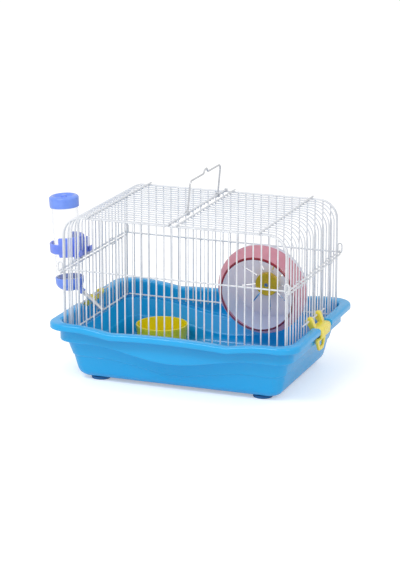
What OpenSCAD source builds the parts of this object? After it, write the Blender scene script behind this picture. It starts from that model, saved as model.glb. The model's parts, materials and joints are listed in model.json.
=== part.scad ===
// Small wire-topped hamster cage: a moulded tub, a welded wire top whose right
// roof half swings open, two snap latches, a carrying handle, a running wheel,
// a drinking bottle on a clip-on holder and a food bowl.
// Millimetres, +Z up, front towards -Y. The origin is on the floor under the
// middle of the whole object; cage_shift moves the tub clear of the bottle.

/* [Tub] */
// Width of the tub over its rim
tub_w = 373.2; // [372:0.1:378]
// Depth of the tub over its rim
tub_d = 279.2; // [278:0.1:284]
// Height of the rim above the floor
rim_z = 88; // [87:0.1:90]
// Corner radius of the rim
rim_r = 30; // [26:1:34]
// Wall thickness of the tub
tub_wall = 3; // [2.4:0.1:3.2]
// Height of the feet
foot_h = 4; // [3:0.5:5]
// Radius of each foot
foot_r = 14; // [8:1:16]

/* [Wire top] */
// Width of the wire top
cage_w = 330; // [329:0.5:331]
// Depth of the wire top
cage_d = 234; // [233:0.5:235]
// Height of the lowest wires above the floor
low_z = 68; // [68:0.5:70]
// Height of the roof hinges above the lowest wires
mid_rise = 95; // [90:1:100]
// Height of the roof above the lowest wires
top_rise = 171; // [165:1:180]
// Radius of the roof bends
bend_r = 28; // [24:1:32]
// Number of gaps between the upright wires of the front
front_gaps = 28; // [28:1:28]
// Distance between the bent roof wires
hoop_pitch = 12.1; // [12:0.05:12.2]
// Bent roof wires on each side of the middle one
hoop_side = 9; // [9:1:9]
// Diameter of the thin wires
wire_d = 2; // [1.8:0.1:2]
// Diameter of the frame and hinge wires
frame_d = 2.5; // [2.4:0.1:2.5]

/* [Handle] */
// Height of the handle above its hinge wire
handle_h = 45.5; // [40:0.5:60]
// Diameter of the handle wire
handle_d = 2.6; // [2.4:0.1:2.8]
// Angle at which the handle stands, from upright
handle_lean = 5; // [3:1:8]

/* [Wheel] */
// Outer diameter of the wheel round its middle
wheel_d = 134; // [128:0.5:134]
// Outer diameter of the wheel at its mouth and its back
wheel_mouth_d = 110; // [106:0.5:112]
// Depth of the wheel
wheel_depth = 52; // [48:1:54]
// Downward lean of the wheel's open side
wheel_lean = 6; // [3:0.5:6]

/* [Bottle] */
// Radius of the clear bottle
bottle_r = 19.8; // [19:0.1:20]
// Length of the bottle with both ends
bottle_len = 141; // [138:1:144]
// Outward lean of the bottle's top
bottle_lean = 3.5; // [3:0.5:4.5]
// Fall of the drinking spout below level
spout_drop = 40; // [38:1:42]

/* [Bowl] */
// Diameter of the bowl at its rim
bowl_d = 77; // [66:1:80]
// Height of the bowl
bowl_h = 37.5; // [30:0.5:40]

/* [Hidden] */
$fn = 48;
gap = 0.04;        // clearance between crossing wires of one welded panel
slack = 0.3;       // clearance between parts that move past each other
mid_z = low_z + mid_rise;
top_z = low_z + top_rise;
thin_r = wire_d / 2;
stout_r = frame_d / 2;
layer = thin_r + stout_r + gap;         // spacing of crossing wire layers
half_w = cage_w / 2;
half_d = cage_d / 2;
outline_in = 0.6;                       // how far the panel outline sits in
outline_x = half_w - outline_in;
outline_z = top_z - outline_in;
outline_r = bend_r - outline_in;
front_pitch = cage_w / front_gaps;
hinge_x = half_w + layer;               // roof hinge wires, outside the uprights
roof_wire_z = top_z + layer;            // cross wires lie on top of the roof
roof_split = 6;                         // half the distance between the halves
cross_x = 126;                          // cross wire near each roof bend
stub = 4.9;                             // uprights end this far below low_z
lower_top_z = mid_z - 5;                // top wire of each lower end panel
ring_y = 5.5 * hoop_pitch;
bar_z = low_z + 27.5;                   // latch bar height
bar_half = 50;
tooth_y = 1.5 * hoop_pitch;
notch_half = 23.5;                      // half width of the rim notch
notch_ramp = 3;
notch_in = 4;
notch_down = 5;
rim_hx = tub_w / 2;
rim_hy = tub_d / 2;
handle_y0 = -3.5 * hoop_pitch;
handle_y1 = 6.5 * hoop_pitch;
wheel_x = 67.3;
wheel_y = 95;
wheel_z = 112.5;
bottle_x = 187;                         // bottle axis at its lower end
bottle_y = -3.5 * hoop_pitch;
bottle_z = 111;
bottle_cap_r = 21.5;
cap_shoulder = bottle_len - 4;          // where the cap's side begins to round
bowl_x = -86;
bowl_y = 58.5;
bottle_reach = bottle_x + cap_shoulder * sin(bottle_lean) + bottle_cap_r * cos(bottle_lean);
cage_shift = (bottle_reach - rim_hx) / 2;

// ---- placing and wire helpers ----

module placed() { translate([cage_shift, 0, 0]) children(); }

module wire_x(x0, x1, y, z, r) {
    translate([x0, y, z]) rotate([0, 90, 0]) cylinder(r = r, h = x1 - x0);
}

module wire_y(x, y0, y1, z, r) {
    translate([x, y0, z]) rotate([-90, 0, 0]) cylinder(r = r, h = y1 - y0);
}

module wire_z(x, y, z0, z1, r) {
    translate([x, y, z0]) cylinder(r = r, h = z1 - z0);
}

// Quarter bend in the X-Z plane, from straight up at the side to level on top
module quarter_bend(cx, y, cz, bend, r) {
    translate([cx, y, cz]) rotate([90, 0, 0])
        rotate_extrude(angle = 90) translate([bend, 0]) circle(r = r);
}

// Round ring standing in the X-Z plane
module upright_ring(x, y, z, ring_r, r) {
    translate([x, y, z]) rotate([90, 0, 0])
        rotate_extrude() translate([ring_r, 0]) circle(r = r);
}

// ---- tub ----

wall_foot_z = 19;                       // where the side wall meets the floor bend
wall_foot_in = 32;                      // how far in the wall starts, from the rim
wall_head_z = 57;
wall_head_in = 21;
floor_r = 15;                           // outside radius of the floor bend
band_in = 12;                           // the upright band under the rim
ledge_z = 60;                           // underside of the ledge, at the ends
crease_z = 38;
crease_step = 1.2;
ledge_dip = 16;
crease_dip = 14;
lip_drop = 9;                           // height of the turned-down lip

long_step = 10.9;                       // stations along the front and back
long_x = [for (i = [-11:11]) i * long_step];
short_y = [-70, -notch_half - notch_ramp, -notch_half, 0,
           notch_half, notch_half + notch_ramp, 70];
corner_steps = 6;

// Bell curve, 1 in the middle and 0 from reach outwards
function bell(x, reach) = abs(x) < reach ? pow(cos(90 * x / reach), 2) : 0;

// The front and back rims dip to a crest at peak_x, and arc up between
rim_far = 140;
rim_peak = 8 * long_step;
rim_low = 6.5;
rim_mid = 3.7;
function rim_dip(x) =
    abs(x) >= rim_far ? 0
    : abs(x) >= rim_peak
        ? -rim_low * pow((rim_far - abs(x)) / (rim_far - rim_peak), 1.5)
        : -rim_mid - (rim_low - rim_mid) * pow(x / rim_peak, 2);

// 1 inside the notch at each end of the rim, falling to 0 over its ramps
function in_notch(p) =
    abs(p[0]) < 100 ? 0
    : max(0, min(1, (notch_half + notch_ramp - abs(p[1])) / notch_ramp));

function corner(cx, cy, r, start) = [
    for (i = [0:corner_steps])
        let (a = start + 90 * i / corner_steps) [cx + r * cos(a), cy + r * sin(a)]
];

function backwards(list) = [for (i = [len(list) - 1:-1:0]) list[i]];

// Plan outline, counter-clockwise from the front left
function outline(inset) =
    let (hx = rim_hx - inset, hy = rim_hy - inset, r = max(rim_r - 0.4 * inset, 10))
    concat(
        [for (x = long_x) [x, -hy]], corner(hx - r, r - hy, r, -90),
        [for (y = short_y) [hx, y]], corner(hx - r, hy - r, r, 0),
        [for (x = backwards(long_x)) [x, hy]], corner(r - hx, hy - r, r, 90),
        [for (y = backwards(short_y)) [-hx, y]], corner(r - hx, r - hy, r, 180)
    );

// Inset of the sloping wall's outside at height z
function wall_in(z) =
    wall_foot_in + (wall_head_in - wall_foot_in) * (z - wall_foot_z) / (wall_head_z - wall_foot_z);

// One ring of the skin. kind: 0 plain, 1 rim, 2 ledge line, 3 crease line.
// A sloped ring follows the leaning wall where its line dips on the long sides.
function skin_ring(inset, z, kind, sloped) = [
    for (p = outline(inset))
        let (
            dip = kind == 1 ? rim_dip(p[0]) - notch_down * in_notch(p)
                : kind == 2 ? -ledge_dip * bell(p[0], 125)
                : kind == 3 ? -crease_dip * bell(p[0], 110) : 0,
            zz = z + dip,
            on_long = abs(p[1]) > rim_hy - inset - 0.01 && abs(p[0]) < rim_far ? 1 : 0,
            slide = sloped ? wall_in(zz) - wall_in(z) : 0,
            notch = kind == 1 && inset < notch_in + 1 ? notch_in * in_notch(p) : 0
        )
        [p[0] - sign(p[0]) * (notch + (1 - on_long) * slide), p[1] - sign(p[1]) * on_long * slide, zz]
];

floor_arc = [0, 30, 60, 90];
inner_r = floor_r - tub_wall;
skin = concat(
    [for (a = floor_arc)
        skin_ring(wall_foot_in + floor_r * (1 - sin(a)), foot_h + floor_r * (1 - cos(a)), 0, false)],
    [
        skin_ring(wall_in(crease_z - 1.5) + crease_step, crease_z - 1.5, 3, true),
        skin_ring(wall_in(crease_z), crease_z, 3, true),
        skin_ring(wall_in(ledge_z - 1), ledge_z - 1, 2, true),
        skin_ring(wall_in(ledge_z) - 1.5, ledge_z, 2, false),
        skin_ring(band_in + 1, ledge_z, 2, false),
        skin_ring(band_in, ledge_z + 1, 2, false),
        skin_ring(band_in, rim_z - tub_wall, 1, false),
        skin_ring(tub_wall, rim_z - tub_wall, 1, false),
        skin_ring(tub_wall, rim_z - lip_drop, 1, false),
        skin_ring(0, rim_z - lip_drop, 1, false),
        skin_ring(0, rim_z - 3.5, 1, false),
        skin_ring(1.2, rim_z - 1, 1, false),
        skin_ring(3.8, rim_z, 1, false),
        skin_ring(band_in + 0.5, rim_z, 1, false),
        skin_ring(band_in + tub_wall - 0.8, rim_z - 0.8, 1, false),
        skin_ring(band_in + tub_wall, rim_z - 3, 1, false),
        skin_ring(band_in + tub_wall, ledge_z + tub_wall + 1, 2, false),
        skin_ring(band_in + tub_wall + 1, ledge_z + tub_wall, 2, false),
        skin_ring(wall_in(ledge_z) + tub_wall - 1, ledge_z + tub_wall, 2, false),
        skin_ring(wall_in(ledge_z) + tub_wall, ledge_z + tub_wall - 1, 2, false),
        skin_ring(wall_in(crease_z) + tub_wall, crease_z, 3, true),
        skin_ring(wall_in(crease_z - 1.5) + tub_wall + crease_step, crease_z - 1.5, 3, true)
    ],
    [for (a = backwards(floor_arc))
        skin_ring(wall_foot_in + tub_wall + inner_r * (1 - sin(a)),
                  foot_h + tub_wall + inner_r * (1 - cos(a)), 0, false)]
);
ring_n = len(skin[0]);
last_ring = (len(skin) - 1) * ring_n;
under_mid = len(skin) * ring_n;         // middle points of the underside and the floor
floor_mid = under_mid + 1;
skin_points = concat([for (ring = skin) each ring],
                     [[0, 0, foot_h], [0, 0, foot_h + tub_wall]]);
skin_faces = concat(
    [for (i = [0:ring_n - 1]) [under_mid, i, (i + 1) % ring_n]],
    [for (j = [0:len(skin) - 2], i = [0:ring_n - 1])
        [j * ring_n + i, (j + 1) * ring_n + i, (j + 1) * ring_n + (i + 1) % ring_n]],
    [for (j = [0:len(skin) - 2], i = [0:ring_n - 1])
        [j * ring_n + i, (j + 1) * ring_n + (i + 1) % ring_n, j * ring_n + (i + 1) % ring_n]],
    [for (i = [0:ring_n - 1]) [floor_mid, last_ring + (i + 1) % ring_n, last_ring + i]]
);

module tub() {
    color([0.2, 0.63, 0.9]) placed() polyhedron(points = skin_points, faces = skin_faces);
}

foot_x = 122;
foot_y = 84;

module tub_feet() {
    color([0.1, 0.35, 0.6]) placed()
        for (sx = [-1, 1], sy = [-1, 1])
            translate([sx * foot_x, sy * foot_y, 0]) cylinder(r = foot_r, h = foot_h);
}

// ---- welded wire panels ----

// Height of the panel outline above the upright at x
function outline_top(x) =
    let (over = abs(x) - (outline_x - outline_r))
    over <= 0 ? outline_z : outline_z - outline_r + sqrt(outline_r * outline_r - over * over);

// Front panel; the back one is its mirror image
module long_panel() {
    inner_y = layer - half_d;
    for (i = [1:front_gaps - 1])
        let (x = i * front_pitch - half_w)
            wire_z(x, -half_d, low_z - stub, outline_top(x) + thin_r, thin_r);
    for (z = [low_z, mid_z])
        wire_x(stout_r + gap - outline_x, outline_x - stout_r - gap, inner_y, z, stout_r);
}

module front_panel() { color("white") placed() long_panel(); }

module back_panel() { color("white") placed() mirror([0, 1, 0]) long_panel(); }

// Bent frame wire of the front panel; the back one is its mirror image
module panel_outline() {
    inner_y = layer - half_d;
    for (side = [0, 1]) mirror([side, 0, 0]) {
        wire_z(outline_x, inner_y, low_z - 2, outline_z - outline_r, stout_r);
        quarter_bend(outline_x - outline_r, inner_y, outline_z - outline_r, outline_r, stout_r);
    }
    wire_x(outline_r - outline_x, outline_x - outline_r, inner_y, outline_z, stout_r);
}

module front_outline() { color("white") placed() panel_outline(); }

module back_outline() { color("white") placed() mirror([0, 1, 0]) panel_outline(); }

// Right lower end panel; the left one is its mirror image
module lower_end() {
    for (k = [-hoop_side:hoop_side])
        wire_z(half_w, k * hoop_pitch, low_z - stub, lower_top_z + 1.5, thin_r);
    wire_y(hinge_x, -half_d - 4, half_d + 4, lower_top_z, stout_r);
    wire_y(half_w - layer, 4 - half_d, half_d - 4, low_z, stout_r);
}

module right_lower_end() { color("white") placed() lower_end(); }

module left_lower_end() { color("white") placed() mirror([1, 0, 0]) lower_end(); }

// Right roof half; the left one is its mirror image
module roof_half() {
    for (k = [-hoop_side:hoop_side])
        union() {
            wire_x(roof_split - thin_r, half_w - bend_r, k * hoop_pitch, top_z, thin_r);
            quarter_bend(half_w - bend_r, k * hoop_pitch, top_z - bend_r, bend_r, thin_r);
            wire_z(half_w, k * hoop_pitch, mid_z - 1, top_z - bend_r, thin_r);
        }
    for (x = [roof_split, cross_x])
        wire_y(x, -half_d - 2, half_d + 2, roof_wire_z, stout_r);
    wire_y(hinge_x, -half_d - 4, half_d + 4, mid_z, stout_r);
}

module right_roof_half() { color("white") placed() roof_half(); }

module left_roof_half() { color("white") placed() mirror([1, 0, 0]) roof_half(); }

// Two rings that tie a roof half's hinge wire to the lower end panel
module hinge_rings() {
    for (sy = [-1, 1])
        upright_ring(hinge_x, sy * ring_y, (mid_z + lower_top_z) / 2, 4.9, 0.8);
}

module right_hinge_rings() { color("white") placed() hinge_rings(); }

module left_hinge_rings() { color("white") placed() mirror([1, 0, 0]) hinge_rings(); }

// Long loops that stand on the ends of the roof hinge wires, outside the long panels
module corner_loops() {
    loop_r = 3;
    loop_half = 4;
    loop_y = half_d + thin_r + 1.6;
    loop_z = mid_z + 4.45;
    color("white") placed()
        for (sx = [0, 1], sy = [0, 1]) mirror([sx, 0, 0]) mirror([0, sy, 0])
            union() for (up = [0, 1])
                translate([hinge_x, loop_y, loop_z]) mirror([0, 0, up]) {
                    translate([0, 0, loop_half]) rotate([90, 0, 0])
                        rotate_extrude(angle = 180) translate([loop_r, 0]) circle(r = 1);
                    for (x = [-loop_r, loop_r]) translate([x, 0, 0]) cylinder(r = 1, h = loop_half);
                }
}

// Rests fixed to the left half's middle wire; the right half lies on them
hook_r = 0.8;
hook_y = [-112.4, -7.5 * hoop_pitch, 110.8];   // clear of the hoops and the panel outlines

module roof_hooks() {
    rest_z = roof_wire_z - stout_r - hook_r - slack;
    color("white") placed() for (y = hook_y) {
        wire_x(-roof_split - 2.5, roof_split + 3.2, y, rest_z, hook_r);
        upright_ring(-roof_split, y + 2 * hook_r + gap, roof_wire_z, stout_r + hook_r + gap, hook_r);
    }
}

// Short bars that the latch teeth hold
module latch_bar() { wire_y(hinge_x, -bar_half, bar_half, bar_z, stout_r); }

module right_latch_bar() { color("white") placed() latch_bar(); }

module left_latch_bar() { color("white") placed() mirror([1, 0, 0]) latch_bar(); }

// ---- latches ----

plate_t = 3.5;
tooth_w = 9;
tooth_r = 5;
tab_bottom = 50;

// Right latch; the left one is its mirror image.
// Side outlines are in X and Z, measured from the latch bar.
module latch() {
    rest = rim_z - notch_down + slack - bar_z;          // underside of the plate
    out = rim_hx - notch_in + slack - hinge_x;          // inside of the outer leg
    lip = rim_z - notch_down - lip_drop - bar_z;        // lower edge of the rim's lip
    swing_r = norm([out, lip]) + slack;                 // clears the lip as it turns
    arm_in = out - 6.5;
    arm_z = -sqrt(swing_r * swing_r - arm_in * arm_in);
    arm_t = 3;
    tab_h = arm_z - arm_t / 2 + bar_z - tab_bottom;
    arc_from = atan2(arm_z, arm_in);
    arc_to = atan2(lip, out);
    // plate over the rim, outer leg, and an arm that turns in under the lip
    latch_slice(2 * (notch_half - 0.5), 0)
        polygon(concat(
            [[3.5, rest], [out, rest]],
            [for (i = [4:-1:0]) let (a = arc_from + (arc_to - arc_from) * i / 4)
                [swing_r * cos(a), swing_r * sin(a)]],
            [[arm_in, arm_z - arm_t], [out, lip - arm_t], [out + plate_t, lip],
             [out + plate_t, rest + plate_t - 1.2], [out + plate_t - 1.2, rest + plate_t],
             [3.5, rest + plate_t]]
        ));
    // two teeth round the bar
    for (sy = [-1, 1]) latch_slice(tooth_w, sy * tooth_y)
        difference() {
            union() {
                circle(r = tooth_r);
                polygon([[-3, -4], [2.6, rest + 0.5], [9, rest + plate_t - 0.5],
                         [4.6, 2], [0, 0]]);
            }
            circle(r = stout_r + 0.05);
            rotate(225) translate([0, -1]) square([tooth_r + 1, 2]);
        }
    // pull tab with a finger hole
    translate([hinge_x + arm_in, 0, tab_bottom]) rotate([90, 0, 90])
        linear_extrude(height = plate_t) difference() {
            polygon([[-20, tab_h], [-19, tab_h - 5], [-12, 3], [-9, 0],
                     [9, 0], [12, 3], [19, tab_h - 5], [20, tab_h]]);
            polygon([[-12, tab_h - 4.5], [-7.5, 5], [7.5, 5], [12, tab_h - 4.5]]);
        }
}

module latch_slice(w, y) {
    translate([hinge_x, y + w / 2, bar_z]) rotate([90, 0, 0])
        linear_extrude(height = w) children();
}

module right_latch() { color([0.95, 0.85, 0.15]) placed() latch(); }

module left_latch() { color([0.95, 0.85, 0.15]) placed() mirror([1, 0, 0]) latch(); }

// ---- handle ----

// Straight rod between two points of the handle's plane, given as [y, height]
module handle_rod(a, b) {
    r = handle_d / 2;
    run = b - a;
    translate([0, a[0], a[1]]) rotate([-atan2(run[0], run[1]), 0, 0]) cylinder(r = r, h = norm(run));
    translate([0, b[0], b[1]]) sphere(r = r + 0.02);
}

module handle() {
    r = handle_d / 2;
    eye = stout_r + r + 0.25;
    mid = (handle_y0 + handle_y1) / 2;
    cut = 4;
    line = [
        [handle_y0, eye], [handle_y0, handle_h - cut], [handle_y0 + cut, handle_h],
        [mid - 8, handle_h], [mid - 4, handle_h + 6], [mid + 4, handle_h + 6],
        [mid + 8, handle_h], [handle_y1 - cut, handle_h], [handle_y1, handle_h - cut],
        [handle_y1, eye]
    ];
    color([0.78, 0.79, 0.81]) placed()
        translate([-roof_split, 0, roof_wire_z]) rotate([0, handle_lean, 0]) union() {
            for (i = [0:len(line) - 2]) handle_rod(line[i], line[i + 1]);
            for (y = [handle_y0, handle_y1]) upright_ring(0, y, 0, eye, r);
        }
}

// ---- bowl ----

module bowl() {
    r = bowl_d / 2;
    color([0.95, 0.85, 0.15]) placed()
        translate([bowl_x, bowl_y, foot_h + tub_wall + gap])
            rotate_extrude($fn = 96) polygon([
                [0, 0], [r - 5, 0], [r - 3.5, 1.5], [r, bowl_h - 3], [r, bowl_h], [r - 2.5, bowl_h],
                [r - 5.8, 4], [r - 7.5, 2.5], [0, 2.5]
            ]);
}

// ---- drinking bottle ----

// Upright on the bottle's own axis, z = 0 at its lower end
module at_bottle() {
    placed() translate([-bottle_x, bottle_y, bottle_z]) rotate([0, -bottle_lean, 0]) children();
}

// Along the spout, z = 0 inside the bottle's base
module at_spout() {
    placed() translate([9 - bottle_x, bottle_y, bottle_z + 9])
        rotate([0, 90 + spout_drop, 0]) children();
}

base_r = bottle_r + 0.7;
base_h = 21;
neck_r = bottle_r - 1.5;
bottle_t = 1.2;
seal_z = 12;
seal_top = seal_z + 1.8;
spout_r = 3;
spout_bore = 2.6;
spout_end = 53;
ball_r = 2.5;
lip_bore = 2;

module bottle_body() {
    top = bottle_len - 8;
    color([0.85, 0.9, 0.95, 0.5]) at_bottle() rotate_extrude() polygon([
        [neck_r - bottle_t, seal_top], [neck_r, seal_top], [neck_r, base_h],
        [bottle_r, base_h + 1.5], [bottle_r, top], [bottle_r - bottle_t, top],
        [bottle_r - bottle_t, base_h + 2], [neck_r - bottle_t, base_h + 0.5]
    ]);
}

// Points of a quarter ellipse in the r-z half plane, from its pole to its side
function dome(r, h, z) = [for (a = [0:10:90]) [r * sin(a), z - h * cos(a)]];

module bottle_base() {
    socket_r = 4.6;
    color([0.45, 0.58, 0.97]) {
        difference() {
            union() {
                at_bottle() rotate_extrude() polygon(concat(
                    dome(base_r, 14, 14),
                    [[base_r, base_h], [neck_r + 0.1, base_h], [neck_r + 0.1, seal_z], [0, seal_z]]
                ));
                at_spout() translate([0, 0, 1]) cylinder(r = socket_r, h = 13.5);
            }
            at_bottle() rotate_extrude() polygon([
                [0, 5], [9, 5], [14, 9], [14, seal_z + 1], [0, seal_z + 1]
            ]);
            at_spout() cylinder(r = spout_r, h = 20);
        }
    }
}

module bottle_seal() {
    color([0.25, 0.25, 0.28]) at_bottle() translate([0, 0, seal_z])
        difference() {
            cylinder(r = neck_r, h = seal_top - seal_z);
            translate([0, 0, -1]) cylinder(r = neck_r - 2.2, h = 4);
        }
}

module bottle_cap() {
    r = bottle_cap_r;
    foot = bottle_len - 17;
    inside = bottle_r + slack;
    under = bottle_len - 8 + slack;
    color([0.38, 0.52, 0.96]) at_bottle() rotate_extrude() polygon([
        [inside, foot], [r, foot], [r, cap_shoulder], [r - 1.2, bottle_len - 1.2],
        [r - 4, bottle_len - 0.4], [15, bottle_len - 1], [11, bottle_len - 5], [5, bottle_len - 5.5],
        [4, bottle_len - 1.5], [3, bottle_len], [0, bottle_len], [0, under], [inside, under]
    ]);
}

module spout_tube() {
    color([0.8, 0.81, 0.83]) at_spout() rotate_extrude() polygon([
        [spout_bore, 3], [spout_r, 3], [spout_r, spout_end - 1], [spout_r - 0.6, spout_end],
        [lip_bore, spout_end], [lip_bore, spout_end - 0.6], [spout_bore, spout_end - 0.9]
    ]);
}

ball_seat = sqrt(ball_r * ball_r - lip_bore * lip_bore);

module spout_ball() {
    color([0.75, 0.76, 0.78]) at_spout()
        translate([0, 0, spout_end - 0.6 - ball_seat - 0.1]) sphere(r = ball_r);
}

// Arm round the front of the bottle, tall saddle next to the wires, back plate, two hooks
module bottle_holder() {
    band_z = 65.5;                      // middle of the arm, along the bottle
    band_h = 14;
    band_in = bottle_r + 2.4;
    band_t = 3;
    arm_past = 5;                       // how far the arm's end lies behind the bottle's middle
    saddle_z = bottle_z + 68;           // middle of the saddle, above the floor
    saddle_h = 28;
    plate_x = hinge_x + stout_r + 0.2;
    plate_z = mid_z - 0.5;              // lower edge of the plate, above the lower end's top wire
    plate_w = 46;
    plate_h = 26;
    finger_z = plate_z + 5.5;
    finger_w = 4;
    color([0.4, 0.53, 0.95]) {
        difference() {
            union() {
                at_bottle() translate([0, 0, band_z - band_h / 2]) intersection() {
                    cylinder(r = band_in + band_t, h = band_h);
                    translate([-40, -40, 0]) cube([80, 40 + arm_past, band_h]);
                }
                intersection() {
                    at_bottle() cylinder(r = band_in + band_t, h = bottle_len);
                    placed() translate([-bottle_x - 3, bottle_y - 40, saddle_z - saddle_h / 2])
                        cube([60, 80, saddle_h]);
                }
                placed() translate([-plate_x - 2.2, bottle_y - plate_w / 2, plate_z])
                    cube([2.2, plate_w, plate_h]);
            }
            at_bottle() cylinder(r = bottle_r + 0.05, h = bottle_len);
            at_bottle() translate([0, 0, band_z - band_h]) intersection() {
                cylinder(r = band_in, h = 2 * band_h);
                translate([-60, -30, 0]) cube([60 - 8, 60, 2 * band_h]);
            }
            placed() translate([-plate_x, bottle_y - plate_w, bottle_z])
                cube([20, 2 * plate_w, bottle_len]);
        }
        placed() for (side = [-1, 1]) {
            y = bottle_y + side * hoop_pitch - finger_w / 2;
            translate([-plate_x - gap, y, finger_z]) cube([plate_x - half_w + 3.6, finger_w, 8]);
            translate([1.4 - half_w, side > 0 ? y : y - 8, finger_z]) cube([2.2, finger_w + 8, 8]);
        }
    }
}

// ---- running wheel ----

// Along the wheel's axle, z = 0 at the back face of the wheel
module at_wheel() {
    placed() translate([wheel_x, wheel_y, wheel_z]) rotate([90 + wheel_lean, 0, 0]) children();
}

axle_r = 3;
axle_bore = 3.06;
shell_t = 1.6;                          // wall of the wheel's two halves
seam_z = wheel_depth / 2;               // where the halves meet, at the widest place
pan_t = 2;
hub_r = 17.3;
hub_h = 8;
slot_n = 9;
slot_from = 20;
slot_to = 43.5;
slot_w = 1.8;
slot_turn = 32;
lip_h = 1.6;                            // dark lip round the mouth
lip_t = 1.9;
lip_out = 0.2;

// Outer radius of the wheel's bulging shell at height z
function shell_r(z) =
    wheel_mouth_d / 2 + (wheel_d - wheel_mouth_d) / 2 * (1 - pow((z - seam_z) / seam_z, 2));

// Side outline of the shell from z0 to z1, proud outside by out, its wall t thick
module shell_slice(z0, z1, out, t) {
    steps = 8;
    heights = [for (i = [0:steps]) z0 + (z1 - z0) * i / steps];
    polygon(concat(
        [for (z = heights) [shell_r(z) + out, z]],
        [for (z = backwards(heights)) [shell_r(z) + out - t, z]]
    ));
}

module hollow_disc(outer, inner, z0, z1) {
    translate([0, 0, z0]) difference() {
        cylinder(r = outer, h = z1 - z0, $fn = 96);
        translate([0, 0, -1]) cylinder(r = inner, h = z1 - z0 + 2, $fn = 96);
    }
}

module wheel_band() {
    color([0.93, 0.6, 0.66, 0.6]) at_wheel() rotate_extrude($fn = 96)
        shell_slice(seam_z + gap, wheel_depth - lip_h - gap, 0, shell_t);
}

module wheel_rim() {
    color([0.6, 0.15, 0.22]) at_wheel() rotate_extrude($fn = 96)
        shell_slice(wheel_depth - lip_h, wheel_depth, lip_out, lip_t);
}

module wheel_pan() {
    color([0.88, 0.86, 0.92]) at_wheel() difference() {
        rotate_extrude($fn = 96) union() {
            shell_slice(0, seam_z, 0, shell_t);
            square([shell_r(0) - 0.4, pan_t]);
        }
        translate([0, 0, -1]) cylinder(r = axle_bore, h = pan_t + 2);
        for (i = [0:slot_n - 1])
            rotate(i * 360 / slot_n + slot_turn)
                translate([slot_from, -slot_w / 2, -1]) cube([slot_to - slot_from, slot_w, pan_t + 2]);
    }
}

module wheel_hub() {
    color([0.95, 0.85, 0.15]) at_wheel() hollow_disc(hub_r, axle_bore, pan_t, pan_t + hub_h);
}

clip_z = pan_t + hub_h + slack;

module wheel_axle() {
    color([0.7, 0.7, 0.72]) at_wheel() translate([0, 0, -9]) cylinder(r = axle_r, h = clip_z + 1.6 + 9);
}

module axle_clip() {
    color([0.3, 0.3, 0.32]) at_wheel() hollow_disc(5.5, axle_r, clip_z, clip_z + 1.2);
}

// Boss, plate against the back wires, and two clips that reach round them
module wheel_bracket() {
    plate_y = half_d - thin_r - 3.2;
    plate_t = 2.8;
    clip_gap = front_pitch / 2;
    wire_at = front_pitch * round((wheel_x + half_w) / front_pitch) - half_w;
    color([0.95, 0.85, 0.15]) {
        difference() {
            union() {
                at_wheel() translate([0, 0, -18]) cylinder(r = 8, h = 17);
                placed() translate([wheel_x - 12, plate_y, wheel_z - 20]) cube([24, plate_t, 40]);
            }
            at_wheel() translate([0, 0, -9]) cylinder(r = axle_r, h = 20);
            placed() translate([wheel_x - 15, plate_y + plate_t, wheel_z - 30]) cube([30, 10, 60]);
        }
        placed() for (side = [-1, 1], z = [wheel_z - 15, wheel_z + 9]) {
            x = wire_at + side * clip_gap;
            translate([x - 2, plate_y + plate_t, z]) cube([4, 6.4, 6]);
            translate([side > 0 ? x - 6.5 : x - 2, half_d + thin_r + slack, z]) cube([8.5, 2, 6]);
        }
    }
}

tub();
tub_feet();
front_panel();
back_panel();
front_outline();
back_outline();
left_lower_end();
right_lower_end();
left_roof_half();
right_roof_half();
left_hinge_rings();
right_hinge_rings();
corner_loops();
roof_hooks();
left_latch_bar();
right_latch_bar();
left_latch();
right_latch();
handle();
bowl();
bottle_holder();
bottle_body();
bottle_cap();
bottle_base();
bottle_seal();
spout_tube();
spout_ball();
wheel_band();
wheel_rim();
wheel_pan();
wheel_hub();
wheel_axle();
axle_clip();
wheel_bracket();
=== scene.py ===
# %% [markdown]
# # A small hamster cage
# The real object is a blue moulded tub under a top of welded wires, with a wheel, a bottle, a bowl, two
# latches and a handle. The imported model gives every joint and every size. This lesson dresses it: each
# cell makes one piece or one finish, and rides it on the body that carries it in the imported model.

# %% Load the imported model
import json

import bpy
import numpy as np
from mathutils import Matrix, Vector


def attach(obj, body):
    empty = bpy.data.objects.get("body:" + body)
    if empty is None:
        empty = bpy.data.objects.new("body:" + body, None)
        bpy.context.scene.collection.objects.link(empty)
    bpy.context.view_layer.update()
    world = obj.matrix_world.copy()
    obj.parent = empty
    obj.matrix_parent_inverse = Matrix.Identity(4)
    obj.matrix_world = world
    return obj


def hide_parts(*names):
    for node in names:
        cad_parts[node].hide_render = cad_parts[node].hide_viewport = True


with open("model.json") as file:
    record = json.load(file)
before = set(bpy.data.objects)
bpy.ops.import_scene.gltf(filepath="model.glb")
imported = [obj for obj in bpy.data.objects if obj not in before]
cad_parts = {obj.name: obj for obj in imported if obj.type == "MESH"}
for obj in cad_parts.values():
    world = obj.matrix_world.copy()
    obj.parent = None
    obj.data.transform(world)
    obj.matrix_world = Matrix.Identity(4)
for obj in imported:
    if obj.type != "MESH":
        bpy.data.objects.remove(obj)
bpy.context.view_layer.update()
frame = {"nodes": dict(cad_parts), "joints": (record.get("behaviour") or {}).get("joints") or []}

MM = 0.001
joint_at = {j["name"]: np.array(j["pos_m"]) for j in frame["joints"] if "pos_m" in j}
MID_X = float(joint_at["left_latch_swing"][0] + joint_at["right_latch_swing"][0]) / 2

# %% [markdown]
# ## Shapes as grids
# Most pieces here are a grid of points: one parameter runs round the piece and the other along it. The
# faces then follow from the grid's numbering alone, so numpy can make them all at once. Where a row of
# the grid shrinks to one place, such as the tip of a wire, its points are merged and the quads there
# become triangles. That closes every pole without a special case.

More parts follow.
